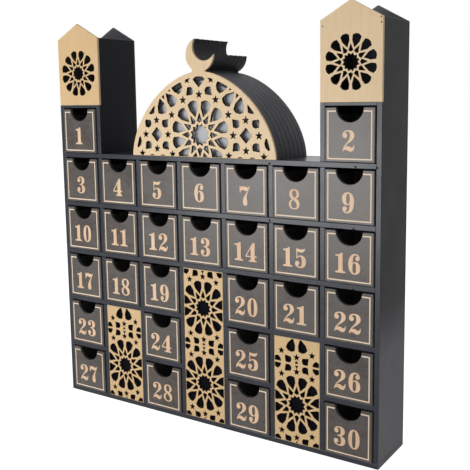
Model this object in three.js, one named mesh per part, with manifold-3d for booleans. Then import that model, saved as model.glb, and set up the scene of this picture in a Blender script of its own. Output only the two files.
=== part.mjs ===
// Countdown calendar: a mosque-shaped cabinet of thirty small drawers, in millimetres.
// +X is right, +Y is back and +Z is up, and the cabinet stands on z = 0. Inside the outer group
// the front edges of the boards lie on y = 0.

import * as THREE from "three";
import { mergeVertices } from "three/addons/utils/BufferGeometryUtils.js";
import Module from "manifold-3d";

const wasm = await Module();
wasm.setup();

// Cabinet boards and cells
const BOARD = 5;
const CELL_WIDTH = 50;
const CELL_HEIGHT = 50.5;
const DEPTH = 62;
const BACK_BOARD = 3;
const SLOT_CLEARANCE = 0.1;

// Cells from the towers down: D holds a drawer, L is part of a lattice bay, a dot is outside
const LAYOUT = [
  "D.....D",
  "DDDDDDD",
  "DDDDDDD",
  "DDDLDDD",
  "DLDLDLD",
  "DLDLDLD",
];
const COLUMNS = LAYOUT[0].length;
const ROWS = LAYOUT.length - 1;

// Drawers
const DRAWER_PROUD = 1.5;
const DRAWER_SIDE_GAP = 1;
const DRAWER_FLOOR_GAP = 0.5;
const DRAWER_TOP_GAP = 1.4;
const DRAWER_BACK_GAP = 1.5;
const DRAWER_FRONT = 4;
const TRAY_WALL = 2.5;
const TRAY_FLOOR = 2.5;
const TRAY_HEIGHT = 42;
const NOTCH_RADIUS = 13.2;
const NOTCH_STEPS = 20;

// Towers
const TOWER_SHELF = 3;
const TOWER_PLATE = 3;
const TOWER_SHOULDER_RISE = 72.5;
const TOWER_GABLE_RISE = 16.5;
const TOWER_ROSETTE_RISE = 35;
const TOWER_SCALE = 0.859;

// Lattice bays
const LATTICE = 3;
const LATTICE_BACKING = 2;
const LATTICE_CLEARANCE = 0.15;
const LATTICE_RIM = 0.9;
const TILE_HEIGHT = 81.4;
const TILE_STRAP = 2.5;
const FIRST_ROSETTE_RISE = 39.4;
const STUB_OVERHANG = 2.5;

// Dome and crescent. The dome's outline is a superellipse, a little more pointed than a half circle
const DOME_HALF_WIDTH = 88.6;
const DOME_HEIGHT = 86;
const DOME_POWER = 1.73;
const DOME_PLATE = 3;
const DOME_RIM = 5.5;
const DOME_SILL = 0.8;
const DOME_SCALE = 1.205;
const DOME_ROSETTE_RISE = 22.5;
const DOME_ARC_STEPS = 40;
const ARCH_LAYERS = 3;
const ARCH_WALL = 9;
const DOME_BACKING = 2;
const DOME_BACKING_SETBACK = 3.6;
const DOME_BACKING_CLEARANCE = 0.3;
const CRESCENT_RADIUS = 17;
const CRESCENT_HOLLOW_RADIUS = 14.1;
const CRESCENT_OFFSET = 1.2;
const CRESCENT_RISE = 16.2;
const HOLLOW_SHIFT_X = 5.4;
const HOLLOW_SHIFT_Z = 7.8;
const CRESCENT_STEPS = 30;
const NECK_LEFT = 8.5;
const NECK_RIGHT = 7.5;
const NECK_RISE = 2.4;
const NECK_SINK = 3;

// Twelve-fold star pattern, with every radius from the rosette's centre at a scale of one
const FOLD = 12;
const CORE_TIP = 9.4;
const CORE_DENT = 7.2;
const KITE = [[10.6, 0], [12, 2.4], [18.2, 0]];
const PETAL = [[15.4, 0], [21.8, 4], [27, 4.75], [28.9, 1.8]];
const STAR_RING = 33.5;
const STAR_POINTS = 5;
const STAR_TIP = 3.2;
const STAR_DENT = 1.36;
const BUD = [[9.8, 0], [10.7, 2.3], [13.2, 3.85], [18.2, 0]];
const DOME_DIAMOND = [5.8, 6.2];
const BAY_DIAMOND = [6.1, 8.6];
const PATTERN_REACH = 2;
const SMALLEST_HOLE = 1.2;

// Length of a cutter, in thicknesses of the board that it cuts
const CUTTER_LENGTH = 3;

// Places worked out from the sizes above
const PITCH_X = CELL_WIDTH + BOARD;
const PITCH_Z = CELL_HEIGHT + BOARD;
const WIDTH = COLUMNS * PITCH_X + BOARD;
const HALF_WIDTH = WIDTH / 2;
const CABINET_TOP = ROWS * PITCH_Z + BOARD;
const BOARD_DEPTH = DEPTH - BACK_BOARD;
const HALF_LAP = BOARD_DEPTH / 2;
const BAY_SETBACK = LATTICE + LATTICE_BACKING;
const TOWER_CELL_TOP = CABINET_TOP + CELL_HEIGHT;
const TOWER_PLATE_FOOT = TOWER_CELL_TOP + TOWER_SHELF;
const SHOULDER = TOWER_PLATE_FOOT + TOWER_SHOULDER_RISE;
const APEX = SHOULDER + TOWER_GABLE_RISE;
const TOWER_WIDTH = CELL_WIDTH + 2 * BOARD;
const TOWER_X = HALF_WIDTH - TOWER_WIDTH / 2;
const TURN = 2 * Math.PI;
const HALF_CELL = STAR_RING * (Math.cos(TURN / FOLD) + Math.sin(TURN / FOLD));

const BLACK_PAINT = { color: 0x2c2c30, roughness: 0.55, metalness: 0 };
const DRAWER_PAINT = { color: 0x4a4a4e, roughness: 0.6, metalness: 0 };
const GOLD_PAINT = { color: 0xd8b47c, roughness: 0.5, metalness: 0.1 };
const BACKING_BLACK = { color: 0x101012, roughness: 0.9, metalness: 0 };
const PALE_BACKING = { color: 0xd9d9dc, roughness: 0.8, metalness: 0 };

// Axes of a board's outline: across and up with the thickness going back, or back and up with the
// thickness going right
const FACING_FRONT = new THREE.Matrix4().makeBasis(
  new THREE.Vector3(1, 0, 0), new THREE.Vector3(0, 0, 1), new THREE.Vector3(0, -1, 0));
const FACING_SIDE = new THREE.Matrix4().makeBasis(
  new THREE.Vector3(0, 1, 0), new THREE.Vector3(0, 0, 1), new THREE.Vector3(1, 0, 0));

const cabinet = new THREE.Group();
cabinet.position.y = -(DEPTH - DRAWER_PROUD) / 2;

function addPiece(name, geometry, finish, x, y, z) {
  const mesh = new THREE.Mesh(geometry, new THREE.MeshStandardMaterial(finish));
  mesh.name = name;
  mesh.position.set(x, y, z);
  cabinet.add(mesh);
}

function shapeOf(points) {
  return new THREE.Shape(points.map(([across, up]) => new THREE.Vector2(across, up)));
}

function extruded(points, thickness) {
  return new THREE.ExtrudeGeometry(shapeOf(points), { depth: thickness, bevelEnabled: false });
}

// A board seen from the front: its outline is across and up, and it spans y = 0 to its thickness
function frontBoard(points, thickness) {
  return extruded(points, thickness).applyMatrix4(FACING_FRONT).translate(0, thickness, 0);
}

// A board seen from the side: its outline is back and up, and it is centred on x = 0
function sideBoard(points, thickness) {
  return extruded(points, thickness).applyMatrix4(FACING_SIDE).translate(-thickness / 2, 0, 0);
}

function solidOf(geometry) {
  const bare = geometry.clone();
  bare.deleteAttribute("normal");
  bare.deleteAttribute("uv");
  const merged = mergeVertices(bare);
  return new wasm.Manifold(new wasm.Mesh({
    numProp: 3,
    vertProperties: merged.attributes.position.array,
    triVerts: new Uint32Array(merged.index.array),
  }));
}

// A solid that cuts right through a board whose front is near y = 0
function cutter(points, thickness) {
  return solidOf(frontBoard(points, CUTTER_LENGTH * thickness).translate(0, -thickness, 0));
}

function geometryOf(solid) {
  const mesh = solid.getMesh();
  const geometry = new THREE.BufferGeometry();
  geometry.setAttribute("position", new THREE.BufferAttribute(mesh.vertProperties, mesh.numProp));
  geometry.setIndex(new THREE.BufferAttribute(mesh.triVerts, 1));
  geometry.computeVertexNormals();
  return geometry;
}

function columnX(column) {
  return (column - (COLUMNS - 1) / 2) * PITCH_X;
}

// Row 0 is the tower cell above the cabinet's top board
function cellFloor(row) {
  return BOARD + (ROWS - row) * PITCH_Z;
}

function rectangle(left, right, bottom, top) {
  return [[left, bottom], [right, bottom], [right, top], [left, top]];
}

function circlePoint(centreX, centreZ, radius, angle) {
  return [centreX + radius * Math.cos(angle), centreZ + radius * Math.sin(angle)];
}

function circleOutline(x, z, radius, steps) {
  const outline = [];
  for (let step = 0; step < steps; step += 1) {
    outline.push(circlePoint(x, z, radius, step * TURN / steps));
  }
  return outline;
}

// Lattice bays: a run of L cells in one column, from the base board up
function latticeBays() {
  const bays = [];
  for (let column = 0; column < COLUMNS; column += 1) {
    let rows = 0;
    while (LAYOUT[ROWS - rows][column] === "L") {
      rows += 1;
    }
    if (rows > 0) {
      bays.push({ column, rows, height: rows * PITCH_Z - BOARD });
    }
  }
  return bays;
}

function bayCrosses(column, row) {
  return LAYOUT[row][column] === "L" && LAYOUT[row + 1][column] === "L";
}

// A level board between the side boards, seen from above: its front edge steps back behind a
// lattice bay, and its back edge is slotted for the uprights
function levelBoardOutline(isBay, uprights) {
  const inside = HALF_WIDTH - BOARD;
  const halfSlot = BOARD / 2 + SLOT_CLEARANCE;
  const outline = [[-inside, 0]];
  for (let column = 0; column < COLUMNS; column += 1) {
    if (isBay(column)) {
      const left = columnX(column) - CELL_WIDTH / 2;
      const right = left + CELL_WIDTH;
      outline.push([left, 0], [left, BAY_SETBACK], [right, BAY_SETBACK], [right, 0]);
    }
  }
  outline.push([inside, 0], [inside, BOARD_DEPTH]);
  for (const x of [...uprights].reverse()) {
    outline.push([x + halfSlot, BOARD_DEPTH], [x + halfSlot, HALF_LAP]);
    outline.push([x - halfSlot, HALF_LAP], [x - halfSlot, BOARD_DEPTH]);
  }
  outline.push([-inside, BOARD_DEPTH]);
  return outline;
}

// An upright board, seen from the side: slotted from the front for each level board it crosses, and
// stepped back behind the tower plate where it runs on up as a tower wall
function uprightOutline(levels, top, isTowerWall) {
  const outline = [[0, BOARD]];
  const halfSlot = BOARD / 2 + SLOT_CLEARANCE;
  const back = [[BOARD_DEPTH, top], [BOARD_DEPTH, BOARD]];
  for (const z of levels) {
    outline.push([0, z - halfSlot], [HALF_LAP + SLOT_CLEARANCE, z - halfSlot]);
    outline.push([HALF_LAP + SLOT_CLEARANCE, z + halfSlot], [0, z + halfSlot]);
  }
  if (isTowerWall) {
    outline.push([0, TOWER_PLATE_FOOT], [TOWER_PLATE, TOWER_PLATE_FOOT], [TOWER_PLATE, top]);
  } else {
    outline.push([0, top]);
  }
  return [...outline, ...back];
}

function addFrame() {
  const uprights = [];
  for (let column = 1; column < COLUMNS; column += 1) {
    uprights.push(columnX(column) - PITCH_X / 2);
  }
  const towerWalls = [uprights[0], uprights[uprights.length - 1]];
  const shelfLevels = [];
  for (let row = 1; row < ROWS; row += 1) {
    shelfLevels.push(cellFloor(row) - BOARD / 2);
  }
  const rising = [...shelfLevels].reverse();
  const topLevel = CABINET_TOP - BOARD / 2;

  const base = extruded(rectangle(-HALF_WIDTH, HALF_WIDTH, 0, BOARD_DEPTH), BOARD);
  addPiece("base_board", base, BLACK_PAINT, 0, 0, 0);
  const side = sideBoard(uprightOutline([], SHOULDER, true), BOARD);
  addPiece("left_side_board", side, BLACK_PAINT, -HALF_WIDTH + BOARD / 2, 0, 0);
  addPiece("right_side_board", side, BLACK_PAINT, HALF_WIDTH - BOARD / 2, 0, 0);
  const top = extruded(levelBoardOutline(() => false, towerWalls), BOARD);
  addPiece("top_board", top, BLACK_PAINT, 0, 0, CABINET_TOP - BOARD);

  shelfLevels.forEach((level, index) => {
    const row = index + 1;
    const shelf = extruded(levelBoardOutline((column) => bayCrosses(column, row), uprights), BOARD);
    addPiece(`shelf_${row}`, shelf, BLACK_PAINT, 0, 0, level - BOARD / 2);
  });

  uprights.forEach((x, index) => {
    const isTowerWall = towerWalls.includes(x);
    const outline = isTowerWall
      ? uprightOutline([...rising, topLevel], SHOULDER, true)
      : uprightOutline(rising, CABINET_TOP - BOARD, false);
    addPiece(`divider_${index + 1}`, sideBoard(outline, BOARD), BLACK_PAINT, x, 0, 0);
  });
}

// One board behind all the cells, with a gable behind each tower
function addBackPanel() {
  const inner = HALF_WIDTH - TOWER_WIDTH;
  const outline = [
    [-HALF_WIDTH, 0], [HALF_WIDTH, 0],
    [HALF_WIDTH, SHOULDER], [TOWER_X, APEX], [inner, SHOULDER], [inner, CABINET_TOP],
    [-inner, CABINET_TOP], [-inner, SHOULDER], [-TOWER_X, APEX], [-HALF_WIDTH, SHOULDER],
  ];
  addPiece("back_panel", frontBoard(outline, BACK_BOARD), BLACK_PAINT, 0, BOARD_DEPTH, 0);
}

// A drawer's front board has a half-round finger notch in its top edge, and the open tray is glued
// behind it. Its origin is the middle of its bottom edge, on the cabinet's front plane.
function drawerGeometry() {
  const width = CELL_WIDTH - 2 * DRAWER_SIDE_GAP;
  const height = CELL_HEIGHT - DRAWER_FLOOR_GAP - DRAWER_TOP_GAP;
  const frontBack = DRAWER_FRONT - DRAWER_PROUD;
  const face = rectangle(-width / 2, width / 2, 0, height);
  const front = solidOf(frontBoard(face, DRAWER_FRONT).translate(0, -DRAWER_PROUD, 0));

  const trayBack = BOARD_DEPTH - DRAWER_BACK_GAP;
  const block = extruded(rectangle(-width / 2, width / 2, 0, trayBack), TRAY_HEIGHT);
  const insideX = width / 2 - TRAY_WALL;
  const inside = extruded(
    rectangle(-insideX, insideX, frontBack, trayBack - TRAY_WALL), CELL_HEIGHT,
  ).translate(0, 0, TRAY_FLOOR);
  const notch = cutter(circleOutline(0, height, NOTCH_RADIUS, NOTCH_STEPS), DRAWER_FRONT);
  return geometryOf(solidOf(block).subtract(solidOf(inside)).add(front).subtract(notch));
}

function addDrawers() {
  const drawer = drawerGeometry();
  let day = 0;
  for (let row = 0; row <= ROWS; row += 1) {
    for (let column = 0; column < COLUMNS; column += 1) {
      if (LAYOUT[row][column] === "D") {
        day += 1;
        const name = `drawer_${String(day).padStart(2, "0")}`;
        const bottom = cellFloor(row) + DRAWER_FLOOR_GAP;
        addPiece(name, drawer, DRAWER_PAINT, columnX(column), 0, bottom);
      }
    }
  }
}

// A closed outline from points on one side of a line through the centre at this angle: each point
// is a distance along the line and a distance to its side
function mirroredOutline(points, centreX, centreZ, scale, angle) {
  const place = ([along, aside]) => [
    centreX + scale * (along * Math.cos(angle) - aside * Math.sin(angle)),
    centreZ + scale * (along * Math.sin(angle) + aside * Math.cos(angle)),
  ];
  const otherSide = points.filter(([, aside]) => aside > 0).reverse();
  return [...points.map(([along, aside]) => place([along, -aside])), ...otherSide.map(place)];
}

function starOutline(centreX, centreZ, points, tip, dent, firstAngle) {
  const outline = [];
  for (let corner = 0; corner < 2 * points; corner += 1) {
    const radius = corner % 2 === 0 ? tip : dent;
    const angle = firstAngle + corner * TURN / (2 * points);
    outline.push(circlePoint(centreX, centreZ, radius, angle));
  }
  return outline;
}

// One rosette: a twelve-pointed star, a ring of kites between its points, and a ring of petals
function rosetteHoles(centreX, centreZ, scale) {
  const step = TURN / FOLD;
  const holes = [starOutline(centreX, centreZ, FOLD, CORE_TIP * scale, CORE_DENT * scale, step / 2)];
  for (let turn = 0; turn < FOLD; turn += 1) {
    holes.push(mirroredOutline(KITE, centreX, centreZ, scale, turn * step));
    holes.push(mirroredOutline(PETAL, centreX, centreZ, scale, (turn + 0.5) * step));
  }
  return holes;
}

// Small stars in a ring round a rosette. Where rings of neighbours share a star, only one draws it.
function smallStars(centreX, centreZ, scale, taken) {
  const holes = [];
  for (let turn = 0; turn < FOLD; turn += 1) {
    const [x, z] = circlePoint(centreX, centreZ, STAR_RING * scale, turn * TURN / FOLD);
    const key = `${Math.round(x)},${Math.round(z)}`;
    if (!taken.has(key)) {
      taken.add(key);
      holes.push(starOutline(x, z, STAR_POINTS, STAR_TIP * scale, STAR_DENT * scale, TURN / 4));
    }
  }
  return holes;
}

// Between four rosettes: a diamond, given by its half width and half height, with a bud at each of
// its corners' diagonals
function diamondHoles(centreX, centreZ, scale, halfSizes) {
  const [wide, high] = halfSizes.map((half) => half * scale);
  const holes = [[
    [centreX + wide, centreZ], [centreX, centreZ + high],
    [centreX - wide, centreZ], [centreX, centreZ - high],
  ]];
  for (let corner = 0; corner < 4; corner += 1) {
    holes.push(mirroredOutline(BUD, centreX, centreZ, scale, (corner + 0.5) * TURN / 4));
  }
  return holes;
}

// Rosettes and diamonds take turns on a square grid round the first rosette
function patternHoles(centreX, centreZ, scale, diamond) {
  const taken = new Set();
  const holes = [];
  for (let across = -PATTERN_REACH; across <= PATTERN_REACH; across += 1) {
    for (let up = -PATTERN_REACH; up <= PATTERN_REACH; up += 1) {
      const x = centreX + across * HALF_CELL * scale;
      const z = centreZ + up * HALF_CELL * scale;
      if ((across + up) % 2 === 0) {
        holes.push(...rosetteHoles(x, z, scale), ...smallStars(x, z, scale, taken));
      } else {
        holes.push(...diamondHoles(x, z, scale, diamond));
      }
    }
  }
  return holes;
}

// Cuts the part of each hole that lies inside the window through a plate whose front is y = 0
function pierce(plate, thickness, holes, windowOutline) {
  const opening = cutter(windowOutline, thickness);
  let pierced = plate;
  for (const hole of holes) {
    const cut = cutter(hole, thickness).intersect(opening);
    if (cut.volume() > SMALLEST_HOLE * CUTTER_LENGTH * thickness) {
      pierced = pierced.subtract(cut);
    }
  }
  return pierced;
}

function addTowers() {
  const foot = TOWER_PLATE_FOOT;
  const half = TOWER_WIDTH / 2;
  const outline = [
    [-half, 0], [half, 0], [half, SHOULDER - foot], [0, APEX - foot], [-half, SHOULDER - foot],
  ];
  const holes = rosetteHoles(0, TOWER_ROSETTE_RISE, TOWER_SCALE);
  const plate = solidOf(frontBoard(outline, TOWER_PLATE));
  const pierced = geometryOf(pierce(plate, TOWER_PLATE, holes, outline));
  const shelf = extruded(
    rectangle(-CELL_WIDTH / 2, CELL_WIDTH / 2, 0, BOARD_DEPTH), TOWER_SHELF);
  for (const [side, x] of [["left", -TOWER_X], ["right", TOWER_X]]) {
    addPiece(`${side}_tower_shelf`, shelf, BLACK_PAINT, x, 0, TOWER_CELL_TOP);
    addPiece(`${side}_tower_plate`, pierced, GOLD_PAINT, x, 0, foot);
  }
}

// The pattern repeats up a bay. A tile cut off below its middle keeps only the holes that are whole.
function addLattices() {
  const width = CELL_WIDTH - 2 * LATTICE_CLEARANCE;
  const bays = latticeBays();
  bays.forEach(({ column, rows, height }, index) => {
    const top = height - LATTICE_CLEARANCE;
    const outline = rectangle(-width / 2, width / 2, 0, top);
    const halfOpen = width / 2 - LATTICE_RIM;
    let lattice = solidOf(frontBoard(outline, LATTICE));
    for (let middle = FIRST_ROSETTE_RISE; middle - TILE_HEIGHT / 2 < top; middle += TILE_HEIGHT) {
      const low = Math.max(middle - (TILE_HEIGHT - TILE_STRAP) / 2, LATTICE_RIM);
      const high = Math.min(middle + (TILE_HEIGHT - TILE_STRAP) / 2, top - LATTICE_RIM);
      const opening = rectangle(-halfOpen, halfOpen, low, high);
      const isStub = middle > top;
      const holes = patternHoles(0, middle, 1, BAY_DIAMOND)
        .filter((hole) => !isStub || hole.every(([, z]) => z <= top + STUB_OVERHANG));
      lattice = pierce(lattice, LATTICE, holes, opening);
    }
    const x = columnX(column);
    addPiece(`lattice_${index + 1}`, geometryOf(lattice), GOLD_PAINT, x, 0, BOARD);
    const backing = frontBoard(outline, LATTICE_BACKING);
    addPiece(`lattice_backing_${index + 1}`, backing, BACKING_BLACK, x, LATTICE, BOARD);
  });
}

// Upper half of a superellipse that stands on the top board, drawn in by an inset and cut off below
// a sill
function domeOutline(inset, sill) {
  const wide = DOME_HALF_WIDTH - inset;
  const high = DOME_HEIGHT - inset;
  const start = Math.asin((sill / high) ** (DOME_POWER / 2));
  const sweep = TURN / 2 - 2 * start;
  const outline = [];
  for (let step = 0; step <= DOME_ARC_STEPS; step += 1) {
    const angle = start + sweep * step / DOME_ARC_STEPS;
    const across = Math.abs(Math.cos(angle)) ** (2 / DOME_POWER);
    const up = Math.abs(Math.sin(angle)) ** (2 / DOME_POWER);
    outline.push([Math.sign(Math.cos(angle)) * wide * across, CABINET_TOP + high * up]);
  }
  return outline;
}

// A dome-shaped board with the crescent on a short neck at its crown
function domeBoard(thickness) {
  const apex = CABINET_TOP + DOME_HEIGHT;
  const moonZ = apex + CRESCENT_RISE;
  const hollowX = CRESCENT_OFFSET + HOLLOW_SHIFT_X;
  const arch = solidOf(frontBoard(domeOutline(0, 0), thickness));
  const moonOutline = circleOutline(CRESCENT_OFFSET, moonZ, CRESCENT_RADIUS, CRESCENT_STEPS);
  const moon = solidOf(frontBoard(moonOutline, thickness));
  const hollowOutline = circleOutline(
    hollowX, moonZ + HOLLOW_SHIFT_Z, CRESCENT_HOLLOW_RADIUS, CRESCENT_STEPS);
  const neckOutline = rectangle(-NECK_LEFT, NECK_RIGHT, apex - NECK_SINK, apex + NECK_RISE);
  const neck = solidOf(frontBoard(neckOutline, thickness));
  return arch.add(neck).add(moon).subtract(cutter(hollowOutline, thickness));
}

function addDome() {
  const windowOutline = domeOutline(DOME_RIM, DOME_SILL);
  const holes = patternHoles(0, CABINET_TOP + DOME_ROSETTE_RISE, DOME_SCALE, DOME_DIAMOND);
  const plate = pierce(domeBoard(DOME_PLATE), DOME_PLATE, holes, windowOutline);
  addPiece("dome_lattice", geometryOf(plate), GOLD_PAINT, 0, 0, 0);

  const layer = (DEPTH - DOME_PLATE) / ARCH_LAYERS;
  const inner = DOME_HALF_WIDTH - ARCH_WALL;
  const tunnelOutline = [
    ...domeOutline(ARCH_WALL, 0), [-inner, CABINET_TOP - BOARD], [inner, CABINET_TOP - BOARD],
  ];
  const arch = geometryOf(domeBoard(layer).subtract(cutter(tunnelOutline, layer)));
  for (let index = 0; index < ARCH_LAYERS; index += 1) {
    addPiece(`dome_arch_${index + 1}`, arch, BLACK_PAINT, 0, DOME_PLATE + index * layer, 0);
  }

  const backingOutline = domeOutline(ARCH_WALL + DOME_BACKING_CLEARANCE, 0);
  const backing = frontBoard(backingOutline, DOME_BACKING);
  const backingY = DOME_PLATE + DOME_BACKING_SETBACK;
  addPiece("dome_backing", backing, PALE_BACKING, 0, backingY, 0);
}

addFrame();
addBackPanel();
addDrawers();
addTowers();
addLattices();
addDome();

export default cabinet;
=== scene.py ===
"""Finishes, small parts and light for the countdown calendar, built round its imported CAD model.

Everything is in metres in the CAD model's own frame: +X right, +Y back, +Z up, floor at z = 0.
"""

import math
import re

import bmesh
import bpy
import numpy as np
from mathutils import Matrix, Vector
from mathutils.geometry import tessellate_polygon


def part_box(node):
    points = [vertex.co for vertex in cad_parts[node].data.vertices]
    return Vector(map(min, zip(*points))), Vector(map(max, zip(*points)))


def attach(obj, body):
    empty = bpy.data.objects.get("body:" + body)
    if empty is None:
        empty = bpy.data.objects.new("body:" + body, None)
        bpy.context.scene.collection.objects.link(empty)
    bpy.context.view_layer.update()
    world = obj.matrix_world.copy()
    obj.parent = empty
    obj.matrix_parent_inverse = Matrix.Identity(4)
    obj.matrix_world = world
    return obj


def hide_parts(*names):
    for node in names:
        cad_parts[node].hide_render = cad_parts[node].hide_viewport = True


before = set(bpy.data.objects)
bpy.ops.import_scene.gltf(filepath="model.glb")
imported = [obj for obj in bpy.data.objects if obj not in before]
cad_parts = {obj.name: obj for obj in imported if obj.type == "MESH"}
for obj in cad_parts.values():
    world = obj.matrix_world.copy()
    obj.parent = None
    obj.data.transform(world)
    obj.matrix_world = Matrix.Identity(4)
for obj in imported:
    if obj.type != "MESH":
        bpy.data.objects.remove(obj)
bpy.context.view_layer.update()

MM = 0.001
CABINET = "cabinet"
DIVIDERS = 6
SHELVES = 4
BAYS = (1, 2, 3)
DAYS = range(1, 31)

# Camera, solved from the photograph's straight edges and then fitted to matched patches of it
CAMERA_PLACE = (0.45337, -0.65386, 0.33943)
CAMERA_YAW = 0.58382
CAMERA_PITCH = -0.13567
CAMERA_ROLL = -0.01433
CAMERA_LENS = 58.48
CAMERA_SENSOR = 36.0
CAMERA_SHIFT = -0.0656
CAMERA_NEAR = 0.01
CAMERA_FAR = 50

# Places taken from the CAD model
FRONT_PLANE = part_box("base_board")[0].y
DRAWER_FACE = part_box("drawer_01")[0].y
TOP_BOARD_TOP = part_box("top_board")[1].z
CABINET_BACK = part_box("back_panel")[1].y

# Drawers
FRONT_THICKNESS = 4 * MM
TRAY_WALL = 2.5 * MM
TRAY_HEIGHT = 42 * MM
TRAY_BACK_GAP = 1.5 * MM
BACK_PANEL = 3 * MM
NOTCH_RADIUS = 13.2 * MM
NOTCH_POINTS = 49

# The gold line on a drawer: its path, then its profile from one side to the other, as shares of
# the line's width and relief. The lit sides are the ones that face the front.
BORDER_WIDTH = 42.1 * MM
BORDER_LOW = 2.8 * MM
BORDER_HEIGHT = 42.5 * MM
BORDER_LINE = 1.25 * MM
BORDER_RELIEF = 0.3 * MM
BORDER_ACROSS = (-0.5, -0.5, -0.3, 0.3, 0.5, 0.5)
BORDER_RISE = (-0.2, 0.55, 1.0, 1.0, 0.55, -0.2)
BORDER_LIT_SIDES = (1, 2, 3)

# Numbers. Digits are drawn in units, from 1 below the line to 101 above it.
NUMBER_HEIGHT = 19.2 * MM
NUMBER_FOOT = 9.6 * MM
NUMBER_SHIFT = -1.0 * MM
NUMBER_RELIEF = 0.3 * MM
NUMBER_SINK = 0.05 * MM
NUMBER_EASE = 0.12 * MM
NUMBER_SPACE = 15
DIGIT_TALL = 102
SIX_CORNER = (63, 100)
CURVE_STEPS = 8

# Dome and crescent, as in the part's source
DOME_HALF_WIDTH = 88.6 * MM
DOME_HEIGHT = 86 * MM
DOME_POWER = 1.73
DOME_POINTS = 120
DOME_LAYERS = 7
DOME_ARCH_NODES = 3
DOME_PLATE_GAP = 0.2 * MM
ARCH_WALL = 9 * MM
CRESCENT_RADIUS = 17 * MM
HOLLOW_RADIUS = 14.1 * MM
CRESCENT_CENTRE = (1.2 * MM, 16.2 * MM)
HOLLOW_CENTRE = (6.6 * MM, 24.0 * MM)
NECK_LEFT = -8.5 * MM
NECK_RIGHT = 7.5 * MM
CRESCENT_POINTS = 48

# Nails, whose places are x and z in millimetres
FRAME_NAIL_RADIUS = 1.0 * MM
PLATE_NAIL_RADIUS = 0.7 * MM
NAIL_DOME = 0.3 * MM
NAIL_FOOT = 0.2 * MM
NAIL_RINGS = 4
NAIL_SIDES = 16
FRAME_NAILS = ((170.4, 278.9), (191.0, 278.7), (168.8, 222.9), (81.3, 278.9), (80.8, 224.1),
               (168.7, 166.8))
PLATE_NAILS = ((137.6, 403.2), (193.2, 408.0), (193.3, 403.3))

# Eased edges, and the rounded corners of the pierced holes
BOARD_EASE = 0.3 * MM
FRONT_EASE = 0.45 * MM
PLATE_EASE = 0.3 * MM
LAYER_EASE = 0.6 * MM
EASE_STEPS = 2
EASE_ANGLE = math.radians(40)
HOLE_EASE = 0.5 * MM
HOLE_EDGE_SHARE = 0.42
HOLE_CORNER_STEPS = 4

# Limits for reading a mesh: what counts as one point, one depth, one plane, a face that looks to
# the front or to a side, a straight run, a length of nothing and the sharpest corner to mitre
ONE_POINT = 1e-6
ONE_DEPTH = 1e-5
ONE_PLANE = math.radians(1)
FACING_FRONT = -0.9
FACING_SIDE = 0.7
STRAIGHT_RUN = 0.004
NO_LENGTH = 1e-12
SHARPEST_MITRE = 0.8

# Kinds of surface on a plate, in the order of its materials
FACE, EDGE, WALL, HOLE, BACK = range(5)

# Patterns in the finishes: each noise's scale, detail and roughness, and where its values lie
BOARD_CLOUDS = (28, 4.0, 0.6)
BOARD_SPECKLE = (900, 2.0, 0.7)
BOARD_MARKS = (160, 3.0, 0.6)
BOARD_CHIPS = (420, 5.0, 0.75)
GOLD_GRAIN = (140, 5.0, 0.6)
GOLD_CLOUDS = (22, 3.0, 0.6)
GOLD_SPECKLE = (1300, 2.0, 0.6)
STEEL_PITS = (2400, 3.0, 0.6)
PATTERN_RANGE = (0.35, 0.65)

# Board paint: shares of clouds, speckle and marks in its tone, and of speckle and marks in its bump
BOARD_TONE = (0.45, 0.3, 0.25)
BOARD_DARK_TO = 0.34
BOARD_LIGHT_FROM = 0.66
BOARD_BUMP = (0.6, 0.4)
BOARD_BUMP_DEPTH = 0.00006
BOARD_SMOOTHER = 0.07
BOARD_ROUGHER = 0.08
CHIPS_FROM = 0.62
CHIPS_FULL = 0.68
BARE_BOARD = (0.30, 0.27, 0.23)
FADE_MOST = 0.9

# Gold paint: shares of grain, clouds and speckle in its tone, and of grain and speckle in its bump
GOLD_SHINE = 0.28
GOLD_BRUSH = (6, 6, 0.35)
GOLD_TONE = (0.45, 0.35, 0.2)
GOLD_DARK_TO = 0.32
GOLD_LIGHT_FROM = 0.68
GOLD_BUMP = (0.7, 0.3)
GOLD_BUMP_DEPTH = 0.00005
GOLD_SMOOTHER = 0.06
GOLD_ROUGHER = 0.08

# Nail steel
STEEL_ROUGHNESS = 0.75
STEEL_SHINE = 0.06
STEEL_DARK_TO = 0.3
STEEL_LIGHT_FROM = 0.7
STEEL_BUMP_DEPTH = 0.00005

# Stage and light. A lamp is its name, place, aim, size and power.
FLOOR_REACH = 6.0
FLOOR_WHITE = (0.8, 0.8, 0.8, 1)
FLOOR_GLOW = 0.85
WORLD_WHITE = (1, 1, 1, 1)
WORLD_LIGHT = 0.3
LAMPS = (("key", (-0.33, -0.93, 0.22), (0, 0, 0.22), (0.62, 0.4), 5.8),
         ("top", (0.2, 0.2, 1.9), (0, 0, 0.2), (1.4, 1.4), 6))


def put(name, data):
    """A new object in the scene that holds a mesh, a lamp or a camera."""
    made = bpy.data.objects.new(name, data)
    bpy.context.scene.collection.objects.link(made)
    return made


# ---------------------------------------------------------------- camera

def aim_camera():
    """Camera at the photograph's angle: turned by yaw, tipped by pitch and rolled on its axis."""
    data = bpy.data.cameras.new("camera")
    data.sensor_width = CAMERA_SENSOR
    data.lens = CAMERA_LENS
    data.shift_y = CAMERA_SHIFT
    data.clip_start = CAMERA_NEAR
    data.clip_end = CAMERA_FAR
    camera = put("camera", data)
    yaw, pitch, roll = CAMERA_YAW, CAMERA_PITCH, CAMERA_ROLL
    ahead = Vector((-math.sin(yaw) * math.cos(pitch), math.cos(yaw) * math.cos(pitch),
                    math.sin(pitch)))
    level = Vector((math.cos(yaw), math.sin(yaw), 0))
    tall = level.cross(ahead)
    right = math.cos(roll) * level + math.sin(roll) * tall
    up = -math.sin(roll) * level + math.cos(roll) * tall
    turn = Matrix((right, up, -ahead)).transposed()
    camera.matrix_world = Matrix.Translation(CAMERA_PLACE) @ turn.to_4x4()
    bpy.context.scene.camera = camera


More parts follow.
